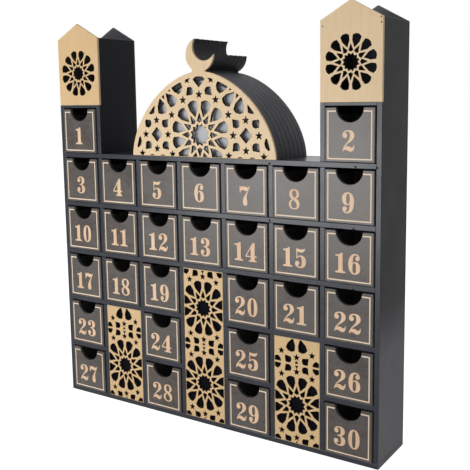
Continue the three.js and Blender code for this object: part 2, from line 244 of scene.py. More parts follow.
aim_camera()


# ---------------------------------------------------------------- mesh helpers

def add_mesh(name, points, faces, materials, kinds=None):
    """A mesh object at the origin from an array of points, lists of face corners and, for more
    than one material, each face's place in the list of materials."""
    mesh = bpy.data.meshes.new(name)
    mesh.from_pydata(np.asarray(points, float).tolist(), [], faces)
    for material in materials:
        mesh.materials.append(material)
    if kinds is not None:
        mesh.polygons.foreach_set("material_index", np.asarray(kinds, np.int32))
    mesh.update()
    return put(name, mesh)


def grid_quads(rows, sides, stride):
    """Quads of a grid whose rows close on themselves, each row a stride after the last in the
    list of points: a point, its neighbour, and the two above them."""
    row, side = np.divmod(np.arange((rows - 1) * sides), sides)
    here, above = row * stride, (row + 1) * stride
    after = (side + 1) % sides
    return np.stack([here + side, here + after, above + after, above + side], axis=1)


def together(shapes):
    """Several shapes as one: its points, its faces and their kinds of surface."""
    points, faces, kinds = [], [], []
    count = 0
    for shape_points, shape_faces, shape_kinds in shapes:
        points.append(shape_points)
        faces += [[index + count for index in face] for face in shape_faces]
        kinds += shape_kinds
        count += len(shape_points)
    return np.concatenate(points), faces, kinds


def area_of(loop):
    """Signed area of a closed outline: half the sum of the cross products of neighbours."""
    x, z = loop[:, 0], loop[:, 1]
    return 0.5 * np.sum(x * np.roll(z, -1) - np.roll(x, -1) * z)


def inset(loop, distance):
    """The outline moved to the left of its direction: each corner slides along its mitre line."""
    ahead = np.roll(loop, -1, axis=0) - loop
    ahead /= np.maximum(np.linalg.norm(ahead, axis=1, keepdims=True), NO_LENGTH)
    left = np.stack([-ahead[:, 1], ahead[:, 0]], axis=1)
    mitre = left + np.roll(left, 1, axis=0)
    reach = 2 / np.maximum(np.sum(mitre * mitre, axis=1, keepdims=True), SHARPEST_MITRE)
    return loop + distance * mitre * reach


def rounded(loop, reach):
    """Each corner becomes a parabola between two points on its edges. A corner's reach is the
    given length at a straight run, less at a sharp turn, and at most a share of the shorter
    edge."""
    before = np.roll(loop, 1, axis=0) - loop
    after = np.roll(loop, -1, axis=0) - loop
    long_before = np.linalg.norm(before, axis=1, keepdims=True)
    long_after = np.linalg.norm(after, axis=1, keepdims=True)
    flat = -np.sum(before * after, axis=1, keepdims=True) / (long_before * long_after)
    wish = reach * np.clip(0.5 + 0.5 * flat, 0.0, 1.0) ** 2
    cut = np.minimum(wish, HOLE_EDGE_SHARE * np.minimum(long_before, long_after))
    start = (loop + before / long_before * cut)[:, None]
    end = (loop + after / long_after * cut)[:, None]
    t = np.linspace(0, 1, HOLE_CORNER_STEPS + 1)[None, :, None]
    curve = (1 - t) ** 2 * start + 2 * t * (1 - t) * loop[:, None] + t ** 2 * end
    return curve.reshape(-1, 2)


def straightened(loop):
    """The outline without the corners that lie on a straight run."""
    before = loop - np.roll(loop, 1, axis=0)
    after = np.roll(loop, -1, axis=0) - loop
    cross = before[:, 0] * after[:, 1] - before[:, 1] * after[:, 0]
    size = np.linalg.norm(before, axis=1) * np.linalg.norm(after, axis=1)
    return loop[np.abs(cross) > STRAIGHT_RUN * size]


def plate_shape(loops, front, back, ease):
    """A flat board with eased edges, as points, faces and kinds of surface: the outer outline and
    its holes, carried back from y = front to y = back. Each outline has four rings, drawn in by
    the ease on the front and back faces and full size in between. The two faces are filled
    between the outlines."""
    loops = [loop if (area_of(loop) > 0) == (index == 0) else loop[::-1]
             for index, loop in enumerate(loops)]
    rings = []
    for depth, amount in ((front, ease), (front + ease, 0.0), (back - ease, 0.0), (back, ease)):
        flat = np.concatenate([inset(loop, amount) for loop in loops])
        rings.append(np.stack([flat[:, 0], np.full(len(flat), depth), flat[:, 1]], axis=1))
    count = len(rings[0])
    points = np.concatenate(rings)

    faces, kinds = [], []
    start = 0
    for index, loop in enumerate(loops):
        faces += (start + grid_quads(len(rings), len(loop), count)).tolist()
        bands = [EDGE, WALL, EDGE] if index == 0 else [HOLE, HOLE, HOLE]
        kinds += np.repeat(bands, len(loop)).tolist()
        start += len(loop)
    corners = [[Vector((x, z, 0)) for x, z in inset(loop, ease)] for loop in loops]
    fill = np.array(tessellate_polygon(corners), int)
    a, b, c = (points[fill[:, corner]][:, [0, 2]] for corner in range(3))
    turned = (b[:, 0] - a[:, 0]) * (c[:, 1] - a[:, 1]) < (b[:, 1] - a[:, 1]) * (c[:, 0] - a[:, 0])
    fill[turned] = fill[turned][:, ::-1]
    faces += fill.tolist() + (fill[:, ::-1] + (len(rings) - 1) * count).tolist()
    kinds += [FACE] * len(fill) + [BACK] * len(fill)
    return points, faces, kinds


def plate_piece(name, shape, materials):
    """A piece from one or more plates. Its materials are for the front face, the outer eased
    edges, the outer wall, the walls and edges of its holes, and the back face. Where the list is
    shorter, its last one serves for the rest."""
    points, faces, kinds = shape
    return add_mesh(name, points, faces, materials, np.minimum(kinds, len(materials) - 1))


def merged_copy(node):
    """A working copy of a CAD node's mesh, with its loose triangles joined at their corners."""
    shape = bmesh.new()
    shape.from_mesh(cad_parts[node].data)
    bmesh.ops.remove_doubles(shape, verts=shape.verts, dist=ONE_POINT)
    return shape


def face_loops(node):
    """The outlines round a CAD plate's front face, the outer one first: the edges that only one of
    the face's triangles has, joined end to end."""
    shape = merged_copy(node)
    front = min(vert.co.y for vert in shape.verts)
    flat = [face for face in shape.faces if face.normal.y < FACING_FRONT
            and abs(face.calc_center_median().y - front) < ONE_DEPTH]
    inside = set(flat)
    follow = {}
    for face in flat:
        for corner in face.loops:
            if not any(other in inside for other in corner.edge.link_faces if other is not face):
                follow[corner.vert] = corner.link_loop_next.vert
    loops = []
    while follow:
        vert, outline = next(iter(follow)), []
        while vert in follow:
            outline.append((vert.co.x, vert.co.z))
            vert = follow.pop(vert)
        loops.append(np.array(outline))
    shape.free()
    loops.sort(key=lambda loop: -abs(area_of(loop)))
    return [straightened(loop) for loop in loops]


def block(low, high):
    """A box from its lowest to its highest corner, as points, faces and kinds of surface."""
    low, high = np.array(low), np.array(high)
    pick = np.array([[x, y, z] for z in (0, 1) for y in (0, 1) for x in (0, 1)])
    points = low + pick * (high - low)
    faces = [(0, 2, 3, 1), (4, 5, 7, 6), (0, 1, 5, 4), (2, 6, 7, 3), (0, 4, 6, 2), (1, 3, 7, 5)]
    return points, faces, [FACE] * len(faces)


def ease_edges(piece, width):
    """Rounds a piece's outer edges with a live bevel."""
    bevel = piece.modifiers.new("eased_edges", "BEVEL")
    bevel.width = width
    bevel.segments = EASE_STEPS
    bevel.limit_method = "ANGLE"
    bevel.angle_limit = EASE_ANGLE


def eased_copy(node, name, width, paint, side_paint):
    """A copy of a CAD board with its triangles merged into whole faces and its edges rounded. The
    side paint is for the faces that look left or right."""
    shape = merged_copy(node)
    bmesh.ops.dissolve_limit(shape, angle_limit=ONE_PLANE, verts=shape.verts, edges=shape.edges)
    mesh = bpy.data.meshes.new(name)
    shape.to_mesh(mesh)
    shape.free()
    mesh.materials.append(paint)
    mesh.materials.append(side_paint)
    normals = np.zeros(len(mesh.polygons) * 3)
    mesh.polygons.foreach_get("normal", normals)
    sideways = np.abs(normals[::3]) > FACING_SIDE
    mesh.polygons.foreach_set("material_index", sideways.astype(np.int32))
    piece = put(name, mesh)
    ease_edges(piece, width)
    return piece


# ---------------------------------------------------------------- finishes

class Finish:
    """A Principled finish whose patterns read Object coordinates."""

    def __init__(self, name, roughness, specular):
        self.material = bpy.data.materials.new(name)
        self.material.use_nodes = True
        self.tree = self.material.node_tree
        self.shader = self.tree.nodes["Principled BSDF"]
        self.shader.inputs["Roughness"].default_value = roughness
        self.shader.inputs["Specular IOR Level"].default_value = specular
        self.place = self.tree.nodes.new("ShaderNodeTexCoord").outputs["Object"]

    def feed(self, socket, value):
        """Sets a socket to a number or a colour, or links it to another node's output."""
        if isinstance(value, tuple):
            socket.default_value = (*value, 1)
        elif isinstance(value, (int, float)):
            socket.default_value = value
        else:
            self.tree.links.new(value, socket)

    def stretched(self, scale):
        """Object coordinates scaled differently along each axis, for grain."""
        node = self.tree.nodes.new("ShaderNodeMapping")
        node.inputs["Scale"].default_value = scale
        self.feed(node.inputs["Vector"], self.place)
        return node.outputs["Vector"]

    def height(self):
        """Height above the floor."""
        node = self.tree.nodes.new("ShaderNodeSeparateXYZ")
        self.feed(node.inputs[0], self.place)
        return node.outputs["Z"]

    def noise(self, pattern, stretch=None):
        """A cloudy value from 0 to 1, with a pattern's scale, detail and roughness."""
        node = self.tree.nodes.new("ShaderNodeTexNoise")
        for socket, value in zip(("Scale", "Detail", "Roughness"), pattern):
            self.feed(node.inputs[socket], value)
        self.feed(node.inputs["Vector"], self.stretched(stretch) if stretch else self.place)
        return node.outputs["Fac"]

    def maths(self, operation, first, second):
        """Two values, added or multiplied."""
        node = self.tree.nodes.new("ShaderNodeMath")
        node.operation = operation
        for socket, value in zip(node.inputs, (first, second)):
            self.feed(socket, value)
        return node.outputs[0]

    def weighed(self, values, shares):
        """The sum of values, each times its share."""
        total = None
        for value, share in zip(values, shares):
            part = self.maths("MULTIPLY", value, share)
            total = part if total is None else self.maths("ADD", total, part)
        return total

    def spread(self, value, low, high, to_low, to_high):
        """Carries values between low and high to the range to_low to to_high, and stops there."""
        node = self.tree.nodes.new("ShaderNodeMapRange")
        for socket, given in (("Value", value), ("From Min", low), ("From Max", high),
                              ("To Min", to_low), ("To Max", to_high)):
            self.feed(node.inputs[socket], given)
        return node.outputs["Result"]

    def ramp(self, value, stops):
        """Colour from a value: stops are two pairs of a place and a colour."""
        node = self.tree.nodes.new("ShaderNodeValToRGB")
        for element, (place, colour) in zip(node.color_ramp.elements, stops):
            element.position = place
            element.color = (*colour, 1)
        self.feed(node.inputs["Fac"], value)
        return node.outputs["Color"]

    def mix(self, share, first, second):
        """The first colour where the share is 0, and the second where it is 1."""
        node = self.tree.nodes.new("ShaderNodeMix")
        node.data_type = "RGBA"
        inputs = [socket for socket in node.inputs if socket.enabled]
        for socket, value in zip(inputs, (share, first, second)):
            self.feed(socket, value)
        return [socket for socket in node.outputs if socket.enabled][0]

    def colour(self, output):
        """The finish's colour."""
        self.feed(self.shader.inputs["Base Color"], output)

    def rough(self, output):
        """The finish's roughness, where it varies."""
        self.feed(self.shader.inputs["Roughness"], output)

    def bump(self, height, depth):
        """Small relief, as deep as the depth in metres."""
        node = self.tree.nodes.new("ShaderNodeBump")
        node.inputs["Distance"].default_value = depth
        self.feed(node.inputs["Height"], height)
        self.feed(self.shader.inputs["Normal"], node.outputs["Normal"])


def board_paint(name, dark, light, roughness, specular=0.5, wear=0.0, brush=(1, 1, 1), fade=None):
    """Brushed paint over fibreboard: cloudy patches, a fine speckle and faint brush marks, with
    chips of paler board where the paint is thin. A fade is a second colour and the heights where
    it sets in and where it has taken over."""
    finish = Finish(name, roughness, specular)
    cloud = finish.noise(BOARD_CLOUDS)
    speckle = finish.noise(BOARD_SPECKLE)
    marks = finish.noise(BOARD_MARKS, brush)
    tone = finish.weighed((cloud, speckle, marks), BOARD_TONE)
    paint = finish.ramp(tone, [(BOARD_DARK_TO, dark), (BOARD_LIGHT_FROM, light)])
    if wear:
        chips = finish.spread(finish.noise(BOARD_CHIPS), CHIPS_FROM - wear, CHIPS_FULL - wear,
                              0.0, 1.0)
        paint = finish.mix(chips, paint, BARE_BOARD)
    # The fade mixes in a second colour by height; on the side paint and on the back panel's paint
    # it is painted light.
    if fade:
        second, start, end = fade
        share = finish.spread(finish.height(), start, end, 0.0, FADE_MOST)
        paint = finish.mix(share, paint, second)
    finish.colour(paint)
    finish.rough(finish.spread(tone, *PATTERN_RANGE, roughness - BOARD_SMOOTHER,
                               roughness + BOARD_ROUGHER))
    finish.bump(finish.weighed((speckle, marks), BOARD_BUMP), BOARD_BUMP_DEPTH)
    return finish.material


def gold_paint(name, dark, light, roughness):
    """Pale gold paint over ply: long faint grain, soft clouds and a fine pearly speckle."""
    finish = Finish(name, roughness, GOLD_SHINE)
    grain = finish.noise(GOLD_GRAIN, GOLD_BRUSH)
    cloud = finish.noise(GOLD_CLOUDS)
    speckle = finish.noise(GOLD_SPECKLE)
    tone = finish.weighed((grain, cloud, speckle), GOLD_TONE)
    finish.colour(finish.ramp(tone, [(GOLD_DARK_TO, dark), (GOLD_LIGHT_FROM, light)]))
    finish.rough(finish.spread(speckle, *PATTERN_RANGE, roughness - GOLD_SMOOTHER,
                               roughness + GOLD_ROUGHER))
    finish.bump(finish.weighed((grain, speckle), GOLD_BUMP), GOLD_BUMP_DEPTH)
    return finish.material


def nail_steel(name, dark, light):
    """Blackened steel, nearly without shine, with small pits."""
    finish = Finish(name, STEEL_ROUGHNESS, STEEL_SHINE)
    pits = finish.noise(STEEL_PITS)
    finish.colour(finish.ramp(pits, [(STEEL_DARK_TO, dark), (STEEL_LIGHT_FROM, light)]))
    finish.bump(pits, STEEL_BUMP_DEPTH)
    return finish.material


FRAME_BLACK = board_paint("frame_black_paint", (0.005, 0.008, 0.014), (0.014, 0.018, 0.030), 0.27,
                          0.33, brush=(1, 1, 0.25))
LEVEL_BLACK = board_paint("level_black_paint", (0.005, 0.008, 0.014), (0.014, 0.018, 0.030), 0.27,
                          0.33, brush=(0.2, 1, 1))
# The sides' paint fades paler below 0.15 m: painted light, standing for the light the floor throws
# up onto their lower part.
SIDE_BLACK_PAINTED_LIGHT = board_paint("side_black_painted_light_low", (0.028, 0.028, 0.030), (0.045, 0.045, 0.048), 0.65,
                         0.15, brush=(1, 1, 0.15), fade=((0.18, 0.178, 0.196), 0.15, 0.105))
# The back panel's paint fades paler above 0.398 m, on its gables: painted light, where the gables
# catch the lamp.
BACK_BLACK_PAINTED_LIGHT = board_paint("back_black_painted_light_gables", (0.038, 0.040, 0.047), (0.066, 0.068, 0.077), 0.6,
                         0.15, brush=(1, 1, 0.3), fade=((0.19, 0.193, 0.215), 0.398, 0.412))
# The dividers' side faces are painted darker than the outer boards' sides: painted shade, for the
# towers' inner walls that stand in shade.
INNER_BLACK_PAINTED_SHADE = board_paint("inner_black_painted_shade", (0.010, 0.011, 0.014), (0.019, 0.020, 0.025), 0.6,
                          0.1, brush=(1, 1, 0.2))
DRAWER_GREY = board_paint("drawer_face_paint", (0.050, 0.037, 0.029), (0.097, 0.088, 0.081), 0.29,
                          0.34, brush=(0.3, 1, 1))
DRAWER_EDGE = board_paint("drawer_edge_paint", (0.05, 0.045, 0.042), (0.10, 0.09, 0.08), 0.55,
                          wear=0.03)
# The trays are painted a mid grey, lighter than the drawer faces: painted light, so that the shaded
# inside of each notch reads lighter.
TRAY_CARD_PAINTED_LIGHT = board_paint("tray_card_painted_light", (0.13, 0.13, 0.135), (0.21, 0.208, 0.21), 0.8, 0.3)
BACKING = board_paint("backing_black_card", (0.003, 0.003, 0.005), (0.008, 0.007, 0.011), 0.85,
                      0.04)
PALE_BACKING = board_paint("dome_pale_backing", (0.52, 0.53, 0.56), (0.62, 0.63, 0.66), 0.7, 0.3)
LAYER_BLACK = board_paint("dome_layer_paint", (0.030, 0.031, 0.036), (0.150, 0.152, 0.168), 0.6,
                          0.15, brush=(0.3, 3, 0.3), fade=((0.012, 0.012, 0.014), 0.366, 0.372))
SEAM_BLACK = board_paint("dome_seam_shadow", (0.008, 0.008, 0.010), (0.018, 0.018, 0.02), 0.7)
GOLD = gold_paint("gold_panel_paint", (0.63, 0.43, 0.215), (0.74, 0.52, 0.28), 0.45)
PALE_GOLD = gold_paint("pale_gold_paint", (0.70, 0.51, 0.30), (0.81, 0.62, 0.39), 0.42)
# The gold plates' eased edges and outer walls take a gold of their own, paler than the panel gold.
GOLD_EDGE = gold_paint("gold_edge_paint", (0.66, 0.47, 0.27), (0.80, 0.60, 0.37), 0.45)
BURNT = board_paint("laser_burnt_wall", (0.012, 0.008, 0.006), (0.05, 0.032, 0.02), 0.8, 0.2)
GOLD_LINE = gold_paint("gold_line_paint", (0.76, 0.59, 0.43), (0.93, 0.77, 0.60), 0.42)
GOLD_NUMBER = gold_paint("gold_number_paint", (0.62, 0.385, 0.225), (0.92, 0.68, 0.475), 0.42)
GOLD_LINE_EDGE = gold_paint("gold_line_shade", (0.20, 0.12, 0.06), (0.34, 0.21, 0.12), 0.5)
FRAME_NAIL = nail_steel("nail_black_steel", (0.001, 0.001, 0.001), (0.006, 0.006, 0.006))
PLATE_NAIL = nail_steel("nail_grey_steel", (0.06, 0.048, 0.04), (0.12, 0.10, 0.085))


# ---------------------------------------------------------------- cabinet boards

def dress_boards():
    """Every black board of the cabinet, with eased edges and brushed paint."""
    outer = ["left_side_board", "right_side_board"]
    upright = [f"divider_{place}" for place in range(1, DIVIDERS + 1)]
    level = ["base_board", "top_board", "left_tower_shelf", "right_tower_shelf"]
    level += [f"shelf_{place}" for place in range(1, SHELVES + 1)]
    for nodes, paint, side_paint in ((outer, FRAME_BLACK, SIDE_BLACK_PAINTED_LIGHT),
                                     (upright, FRAME_BLACK, INNER_BLACK_PAINTED_SHADE),
                                     (level, LEVEL_BLACK, SIDE_BLACK_PAINTED_LIGHT),
                                     (["back_panel"], BACK_BLACK_PAINTED_LIGHT, SIDE_BLACK_PAINTED_LIGHT)):
        for node in nodes:
            piece = eased_copy(node, f"{node}_painted", BOARD_EASE, paint, side_paint)
            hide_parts(node)
            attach(piece, CABINET)


# ---------------------------------------------------------------- drawers

def front_outline(low, high):
    """A drawer front's outline: a rectangle whose top side dips round a half circle, at R cos t
    from its middle and R sin t from its top, for t from 0 back to minus half a turn."""
    middle = (low.x + high.x) / 2
    turn = np.linspace(0, -math.pi, NOTCH_POINTS)
    notch = NOTCH_RADIUS * np.stack([np.cos(turn), np.sin(turn)], axis=1) + (middle, high.z)
    corners = np.array([[low.x, high.z], [low.x, low.z], [high.x, low.z], [high.x, high.z]])
    return np.concatenate([corners, notch])


def tray(name, low, high):
    """The open tray behind a front: a bottom, two sides and a back, each a plain thin board."""
    front = DRAWER_FACE + FRONT_THICKNESS
    back = CABINET_BACK - BACK_PANEL - TRAY_BACK_GAP
    top = low.z + TRAY_HEIGHT
    floor = low.z + TRAY_WALL
    boards = (block((low.x, front, low.z), (high.x, back, floor)),
              block((low.x, front, floor), (low.x + TRAY_WALL, back, top)),
              block((high.x - TRAY_WALL, front, floor), (high.x, back, top)),
              block((low.x + TRAY_WALL, back - TRAY_WALL, floor), (high.x - TRAY_WALL, back, top)))
    piece = plate_piece(name, together(boards), [TRAY_CARD_PAINTED_LIGHT])
    ease_edges(piece, BOARD_EASE)
    return piece


def border(name, low, high):
    """The gold line on a drawer front: a low rounded profile is carried along a path of straight
    runs with mitred corners, from one side of the notch round to the other. A point is the path's
    corner plus its mitre times the place across, and stands off the face by its rise."""
    middle = (low.x + high.x) / 2
    half = BORDER_WIDTH / 2
    bottom = low.z + BORDER_LOW
    top = bottom + BORDER_HEIGHT
    gap = math.sqrt(NOTCH_RADIUS ** 2 - (high.z - top) ** 2) + FRONT_EASE
    path = np.array([[-gap, top], [-half, top], [-half, bottom], [half, bottom], [half, top],
                     [gap, top]]) + (middle, 0)
    ahead = np.diff(path, axis=0)
    ahead /= np.linalg.norm(ahead, axis=1, keepdims=True)
    left = np.stack([-ahead[:, 1], ahead[:, 0]], axis=1)
    left = np.concatenate([left[:1], left, left[-1:]])
    mitre = left[1:] + left[:-1]
    mitre *= 2 / np.sum(mitre * mitre, axis=1, keepdims=True)
    across = np.array(BORDER_ACROSS) * BORDER_LINE
    flat = path[:, None] + mitre[:, None] * across[None, :, None]
    depth = np.broadcast_to(DRAWER_FACE - np.array(BORDER_RISE) * BORDER_RELIEF, flat.shape[:2])
    points = np.stack([flat[..., 0], depth, flat[..., 1]], axis=-1).reshape(-1, 3)

    wide = len(across)
    quads = grid_quads(len(path), wide, wide)[:, [0, 3, 2, 1]]
    lit = np.isin(np.arange(len(quads)) % wide, BORDER_LIT_SIDES)
    corners = list(range(len(points)))
    faces = quads.tolist() + [corners[:wide], corners[:-wide - 1:-1]]
    kinds = np.where(lit, FACE, EDGE).tolist() + [EDGE, EDGE]
    return add_mesh(name, points, faces, [GOLD_LINE, GOLD_LINE_EDGE], kinds)


# Digits 0 to 8, drawn for this part. Each is a set of closed outlines of straight runs (L) and
# curves (C, two handles and an end).
DIGITS = {
    "0": ("M31 101 C51 101 62 81 62 50 C62 19 51 -1 31 -1 C11 -1 0 19 0 50 C0 81 11 101 31 101",
          "M31 94 C38 94 40 80 40 50 C40 20 38 6 31 6 C24 6 22 20 22 50 C22 80 24 94 31 94"),
    "1": ("M0 0 L54 0 L54 8 C44 8 41 10 40 17 L40 100 L31 100 C26 93 15 90 1 90 L1 82 L9 82 "
          "C14 82 16 79 16 73 L16 17 C15 10 11 8 0 8",),
    "2": ("M2 0 L2 7 C6 22 16 34 26 44 C35 53 40 62 40 76 C40 88 36 94 29 94 C23 94 17 91 15 87 "
          "C22 87 27 82 27 75 C27 68 21 63 14 63 C6 63 1 69 1 77 C1 91 14 101 33 101 "
          "C51 101 63 91 63 75 C63 60 50 51 36 41 C27 35 20 29 15 22 C19 25 24 26 29 26 "
          "C38 26 43 19 49 19 C55 19 58 23 59 31 L64 31 C64 12 58 -1 44 -1 C33 -1 26 8 17 8 "
          "C10 8 7 5 6 0",),
    "3": ("M2 79 C2 92 14 101 31 101 C49 101 60 92 60 77 C60 64 52 56 38 53 C54 50 63 41 63 27 "
          "C63 9 49 -1 30 -1 C12 -1 0 8 0 22 C0 31 6 36 13 36 C20 36 25 31 25 24 "
          "C25 18 21 13 14 12 C17 8 22 6 27 6 C36 6 39 13 39 27 C39 43 35 50 24 50 L19 50 L19 56 "
          "L24 56 C34 56 37 63 37 77 C37 89 34 94 27 94 C22 94 18 92 15 89 C22 88 26 84 26 78 "
          "C26 71 21 66 14 66 C7 66 2 71 2 79",),
    "4": ("M20 0 L68 0 L68 7 C60 7 57 9 57 15 L57 24 L68 24 L68 32 L57 32 L57 101 L44 101 L0 33 "
          "L0 24 L32 24 L32 15 C32 9 29 7 20 7", "M8 32 L32 70 L32 32"),
    "5": ("M8 100 C20 94 42 92 57 101 L59 100 C57 88 50 79 36 79 C28 79 20 80 14 83 L14 56 "
          "C19 61 26 64 34 64 C51 64 63 52 63 33 C63 11 49 -1 29 -1 C12 -1 0 8 0 21 "
          "C0 30 6 35 13 35 C20 35 25 30 25 23 C25 17 21 12 14 11 C17 8 22 6 27 6 "
          "C36 6 39 14 39 32 C39 49 36 57 29 57 C22 57 16 52 12 46 L8 46",),
    "6": ("M32 -1 C52 -1 63 11 63 31 C63 50 53 62 38 62 C31 62 26 59 23 54 C23 80 28 94 38 94 "
          "C42 94 46 93 48 90 C41 89 37 85 37 79 C37 72 42 67 48 67 C55 67 60 72 60 79 "
          "C60 92 51 101 37 101 C14 101 0 80 0 48 C0 17 12 -1 32 -1",
          "M32 6 C25 6 23 14 23 31 C23 47 26 55 32 55 C38 55 40 47 40 31 C40 14 38 6 32 6"),
    "7": ("M1 66 L6 66 C8 76 12 81 18 81 C26 81 32 76 40 76 C46 76 50 79 53 85 "
          "C45 66 20 48 20 18 C20 5 26 -1 34 -1 C43 -1 48 5 48 15 C48 26 44 34 44 44 "
          "C44 62 57 76 63 101 L58 101 C56 97 53 96 48 96 C40 96 32 101 22 101 "
          "C14 101 10 98 7 92 L6 101 L1 101",),
    "8": ("M31 101 C49 101 59 92 59 77 C59 66 53 59 43 54 C56 48 62 39 62 26 C62 9 50 -1 31 -1 "
          "C12 -1 0 9 0 25 C0 37 7 45 18 50 C8 56 3 64 3 76 C3 92 14 101 31 101",
          "M32 94 C40 94 43 88 43 77 C43 67 40 61 34 58 C26 63 20 69 20 78 C20 89 24 94 32 94",
          "M26 46 C18 41 15 35 15 25 C15 12 20 6 31 6 C40 6 45 10 45 18 C45 29 37 37 26 46"),
}


def traced(path):
    """Points along one outline: a straight run is its end, and a curve is the cubic whose handles
    are weighted (1 - t)^3, 3 t (1 - t)^2, 3 t^2 (1 - t) and t^3."""
    t = (np.arange(1, CURVE_STEPS + 1) / CURVE_STEPS)[:, None]
    points = []
    for letter, numbers in re.findall(r"([MLC])([^MLC]*)", path):
        values = np.array(numbers.split(), float).reshape(-1, 2)
        if letter == "C":
            one, two, end = values
            points.append((1 - t) ** 3 * points[-1][-1] + 3 * t * (1 - t) ** 2 * one
                          + 3 * t ** 2 * (1 - t) * two + t ** 3 * end)
        else:
            points.append(values)
    outline = np.concatenate(points)
    if np.allclose(outline[0], outline[-1]):
        outline = outline[:-1]
    return outline


def digit_outlines(digit):
    """A digit's outlines. The nine is the six turned half way round."""
    if digit == "9":
        return [np.array(SIX_CORNER) - outline for outline in digit_outlines("6")]
    return [traced(path) for path in DIGITS[digit]]


def number(name, text, low, high):
    """The gold number on a drawer front: each digit a thin raised plate, side by side."""
    digits = [digit_outlines(digit) for digit in text]
    widths = [max(outline[:, 0].max() for outline in digit) for digit in digits]
    total = sum(widths) + NUMBER_SPACE * (len(text) - 1)
    scale = NUMBER_HEIGHT / DIGIT_TALL
    left = (low.x + high.x) / 2 + NUMBER_SHIFT - total * scale / 2
    shapes = []
    for digit, width in zip(digits, widths):
        start = np.array([left, low.z + NUMBER_FOOT])
        shapes.append(plate_shape([start + outline * scale for outline in digit],
                                  DRAWER_FACE - NUMBER_RELIEF, DRAWER_FACE + NUMBER_SINK,
                                  NUMBER_EASE))
        left += (width + NUMBER_SPACE) * scale
    return plate_piece(name, together(shapes),
                       [GOLD_NUMBER, GOLD_NUMBER, GOLD_LINE_EDGE, GOLD_LINE_EDGE])


def dress_drawers():
    """Each drawer as four pieces that ride with it: its front, tray, gold line and number."""
    for day in DAYS:
        node = f"drawer_{day:02d}"
        low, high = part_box(node)
        shape = plate_shape([front_outline(low, high)], DRAWER_FACE,
                            DRAWER_FACE + FRONT_THICKNESS, FRONT_EASE)
        front = plate_piece(f"{node}_front", shape, [DRAWER_GREY, DRAWER_EDGE, DRAWER_EDGE])
        box_piece = tray(f"{node}_tray", low, high)
        line = border(f"{node}_border", low, high)
        digits = number(f"{node}_number", str(day), low, high)
        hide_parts(node)
        for piece in (front, box_piece, line, digits):
            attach(piece, node)


# ---------------------------------------------------------------- gold panels

def finish_node(node, material):
    """A CAD node that keeps its shape and gets a finish."""
    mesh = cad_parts[node].data
    mesh.materials.clear()
    mesh.materials.append(material)


def dress_panels():
    """The pierced gold panels, with the corners of their holes rounded, and the boards behind."""
    nodes = [f"lattice_{bay}" for bay in BAYS] + ["left_tower_plate", "right_tower_plate"]
    for node in nodes:
        low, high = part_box(node)
        outer, *holes = face_loops(node)
        loops = [outer] + [rounded(hole, HOLE_EASE) for hole in holes]
        # The right tower plate takes the pale gold while the left one, the same paint, takes the
        # plain gold: painted sheen, for the paler shine the light lays on it.
        paint = PALE_GOLD if node == "right_tower_plate" else GOLD
        piece = plate_piece(f"{node}_gold", plate_shape(loops, low.y, high.y, PLATE_EASE),
                            [paint, GOLD_EDGE, GOLD_EDGE, BURNT])
        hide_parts(node)
        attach(piece, CABINET)
    for bay in BAYS:
        finish_node(f"lattice_backing_{bay}", BACKING)
    finish_node("dome_backing", PALE_BACKING)


# ---------------------------------------------------------------- dome

def dome_arch(inset_by, points):
    """Upper half of a superellipse on the top board, from its right foot to its left: x is the
    half width times cos t to the power 2/n and z the height times sin t to the power 2/n."""
    t = np.linspace(0, math.pi, points)
    wide, high = DOME_HALF_WIDTH - inset_by, DOME_HEIGHT - inset_by
    x = np.sign(np.cos(t)) * wide * np.abs(np.cos(t)) ** (2 / DOME_POWER)
    z = high * np.abs(np.sin(t)) ** (2 / DOME_POWER)
    return np.stack([x, TOP_BOARD_TOP + z], axis=1)


def arch_point(x):
    """The dome's edge above x: its height times (1 - |x / half width|^n)^(1/n)."""
    share = 1 - abs(x / DOME_HALF_WIDTH) ** DOME_POWER
    return [x, TOP_BOARD_TOP + DOME_HEIGHT * share ** (1 / DOME_POWER)]


def bearing(centre, point):
    """Direction from a centre to a point, as an angle."""
    return math.atan2(point[1] - centre[1], point[0] - centre[0])


def arc(centre, radius, start, end, points):
    """Part of a circle: the centre plus radius times cos t and sin t, for t from start to end."""
    turn = np.linspace(start, end, points)
    return centre + radius * np.stack([np.cos(turn), np.sin(turn)], axis=1)


def dome_outline():
    """The dome with its neck and crescent in one outline: up the right side, round the crescent's
    outer circle to its right tip, back along the hollow to the left tip, and down the left side.
    The tips are where the two circles cross."""
    apex = TOP_BOARD_TOP + DOME_HEIGHT
    moon = np.array([CRESCENT_CENTRE[0], apex + CRESCENT_CENTRE[1]])
    hollow = np.array([HOLLOW_CENTRE[0], apex + HOLLOW_CENTRE[1]])
    arch = dome_arch(0, 2 * DOME_POINTS + 1)
    right = arch[arch[:, 0] > NECK_RIGHT]
    left = arch[arch[:, 0] < NECK_LEFT]

    apart = hollow - moon
    gap = np.linalg.norm(apart)
    along = (gap ** 2 + CRESCENT_RADIUS ** 2 - HOLLOW_RADIUS ** 2) / (2 * gap)
    aside = math.sqrt(CRESCENT_RADIUS ** 2 - along ** 2)
    unit = apart / gap
    across = np.array([unit[1], -unit[0]])
    right_tip = moon + along * unit + aside * across
    left_tip = moon + along * unit - aside * across

    start = -math.acos((NECK_RIGHT - moon[0]) / CRESCENT_RADIUS)
    up_right = arc(moon, CRESCENT_RADIUS, start, bearing(moon, right_tip), CRESCENT_POINTS // 2)
    inner_end = bearing(hollow, left_tip) - 2 * math.pi * (bearing(hollow, left_tip) > 0)
    inside = arc(hollow, HOLLOW_RADIUS, bearing(hollow, right_tip), inner_end, CRESCENT_POINTS)
    end = 2 * math.pi - math.acos((NECK_LEFT - moon[0]) / CRESCENT_RADIUS)
    down_left = arc(moon, CRESCENT_RADIUS, bearing(moon, left_tip), end, CRESCENT_POINTS)
    return np.concatenate([right, [arch_point(NECK_RIGHT)], up_right, inside[1:-1], down_left,
                           [arch_point(NECK_LEFT)], left])


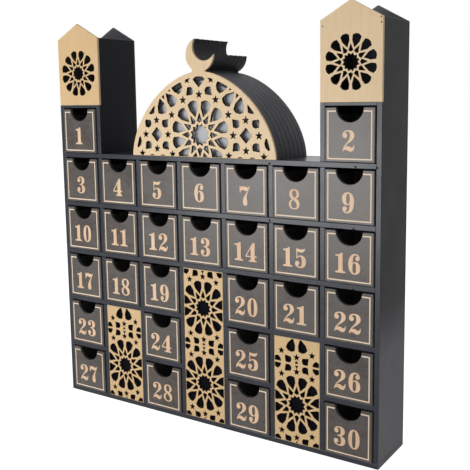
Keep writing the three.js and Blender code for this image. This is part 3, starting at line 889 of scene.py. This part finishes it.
def dress_dome():
    """The pierced gold dome plate, and behind it the black arch in layers with dark seams."""
    outline = dome_outline()
    low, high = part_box("dome_lattice")
    holes = [rounded(hole, HOLE_EASE) for hole in face_loops("dome_lattice")[1:]]
    shape = plate_shape([outline] + holes, low.y, high.y - DOME_PLATE_GAP, PLATE_EASE)
    gold = plate_piece("dome_lattice_gold", shape, [PALE_GOLD, GOLD_EDGE, GOLD_EDGE, BURNT])
    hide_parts("dome_lattice")
    pieces = [gold]
    tunnel = dome_arch(ARCH_WALL, DOME_POINTS + 1)[::-1]
    arch = np.concatenate([outline, tunnel])
    thick = (CABINET_BACK - high.y) / DOME_LAYERS
    for layer in range(DOME_LAYERS):
        front = high.y + layer * thick
        shape = plate_shape([arch], front, front + thick, LAYER_EASE)
        pieces.append(plate_piece(f"dome_layer_{layer + 1}", shape,
                                  [SEAM_BLACK, SEAM_BLACK, LAYER_BLACK]))
    for index, piece in enumerate(pieces[1:DOME_ARCH_NODES + 1]):
        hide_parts(f"dome_arch_{index + 1}")
    for piece in pieces:
        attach(piece, CABINET)


# ---------------------------------------------------------------- nails

def nail(name, x, z, size, steel):
    """A shallow round head: radius R cos a at a height h sin a, for a from 0 to a right angle."""
    turn = np.linspace(0, 2 * math.pi, NAIL_SIDES + 1)[:-1]
    rise = np.linspace(0, math.pi / 2, NAIL_RINGS + 1)[:-1]
    radius = size * np.cos(rise)[:, None]
    depth = (FRONT_PLANE - NAIL_DOME * np.sin(rise))[:, None] + np.zeros(NAIL_SIDES)
    rings = np.stack([x + radius * np.cos(turn), depth, z + radius * np.sin(turn)], axis=-1)
    foot = rings[:1] + (0, NAIL_FOOT, 0)
    points = np.concatenate([foot, rings]).reshape(-1, 3)
    points = np.concatenate([points, [[x, FRONT_PLANE - NAIL_DOME, z]]])

    side = np.arange(NAIL_SIDES)
    last_ring = NAIL_RINGS * NAIL_SIDES
    tip = np.full(NAIL_SIDES, len(points) - 1)
    fan = np.stack([last_ring + side, last_ring + (side + 1) % NAIL_SIDES, tip], axis=1)
    faces = grid_quads(NAIL_RINGS + 1, NAIL_SIDES, NAIL_SIDES).tolist()
    faces += fan.tolist() + [side[::-1].tolist()]
    piece = add_mesh(name, points, faces, [steel])
    piece.data.polygons.foreach_set("use_smooth", [True] * len(faces))
    return piece


def add_nails():
    """The nail heads in the frame's front edges and on the right tower plate."""
    heads = [(place, FRAME_NAIL_RADIUS, FRAME_NAIL) for place in FRAME_NAILS]
    heads += [(place, PLATE_NAIL_RADIUS, PLATE_NAIL) for place in PLATE_NAILS]
    for index, ((x, z), size, steel) in enumerate(heads):
        piece = nail(f"nail_head_{index + 1}", x * MM, z * MM, size, steel)
        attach(piece, CABINET)


# ---------------------------------------------------------------- stage and light

def add_lamp(name, place, aim, size, power):
    """A soft oblong lamp that looks at its aim."""
    data = bpy.data.lights.new(name, "AREA")
    data.shape = "RECTANGLE"
    data.size, data.size_y = size
    data.energy = power
    lamp = put(name, data)
    lamp.location = place
    lamp.rotation_mode = "QUATERNION"
    lamp.rotation_quaternion = (Vector(aim) - Vector(place)).to_track_quat("-Z", "Y")


def seen_directly(tree):
    """One for the camera's own rays and for rays that a shiny or clear surface sends on."""
    path = tree.nodes.new("ShaderNodeLightPath")
    total = path.outputs["Is Camera Ray"]
    for kind in ("Is Glossy Ray", "Is Transmission Ray"):
        either = tree.nodes.new("ShaderNodeMath")
        either.operation = "MAXIMUM"
        tree.links.new(total, either.inputs[0])
        tree.links.new(path.outputs[kind], either.inputs[1])
        total = either.outputs[0]
    return total


def add_floor():
    """A wide pale floor that glows where it is seen and keeps the cabinet's shadow."""
    material = bpy.data.materials.new("floor_white")
    material.use_nodes = True
    tree = material.node_tree
    tree.nodes.clear()
    out = tree.nodes.new("ShaderNodeOutputMaterial")
    add = tree.nodes.new("ShaderNodeAddShader")
    white = tree.nodes.new("ShaderNodeBsdfDiffuse")
    white.inputs["Color"].default_value = FLOOR_WHITE
    glow = tree.nodes.new("ShaderNodeEmission")
    strength = tree.nodes.new("ShaderNodeMath")
    strength.operation = "MULTIPLY"
    strength.inputs[1].default_value = FLOOR_GLOW
    tree.links.new(seen_directly(tree), strength.inputs[0])
    tree.links.new(strength.outputs[0], glow.inputs["Strength"])
    tree.links.new(white.outputs[0], add.inputs[0])
    tree.links.new(glow.outputs[0], add.inputs[1])
    tree.links.new(add.outputs[0], out.inputs["Surface"])
    corners = FLOOR_REACH * np.array([[-1, -1, 0], [1, -1, 0], [1, 1, 0], [-1, 1, 0]])
    floor = add_mesh("floor", corners, [(0, 1, 2, 3)], [material])


def add_world():
    """An even dim light from all round, behind a background that shows white."""
    world = bpy.data.worlds.new("studio")
    world.use_nodes = True
    bpy.context.scene.world = world
    tree = world.node_tree
    tree.nodes.clear()
    out = tree.nodes.new("ShaderNodeOutputWorld")
    plain = tree.nodes.new("ShaderNodeBackground")
    plain.inputs["Color"].default_value = WORLD_WHITE
    plain.inputs["Strength"].default_value = WORLD_LIGHT
    shown = tree.nodes.new("ShaderNodeBackground")
    shown.inputs["Color"].default_value = WORLD_WHITE
    mixed = tree.nodes.new("ShaderNodeMixShader")
    tree.links.new(seen_directly(tree), mixed.inputs["Fac"])
    tree.links.new(plain.outputs[0], mixed.inputs[1])
    tree.links.new(shown.outputs[0], mixed.inputs[2])
    tree.links.new(mixed.outputs[0], out.inputs["Surface"])


dress_boards()
dress_drawers()
dress_panels()
dress_dome()
add_nails()
add_floor()
add_world()
for lamp_facts in LAMPS:
    add_lamp(*lamp_facts)

bpy.context.scene.view_settings.view_transform = "Standard"
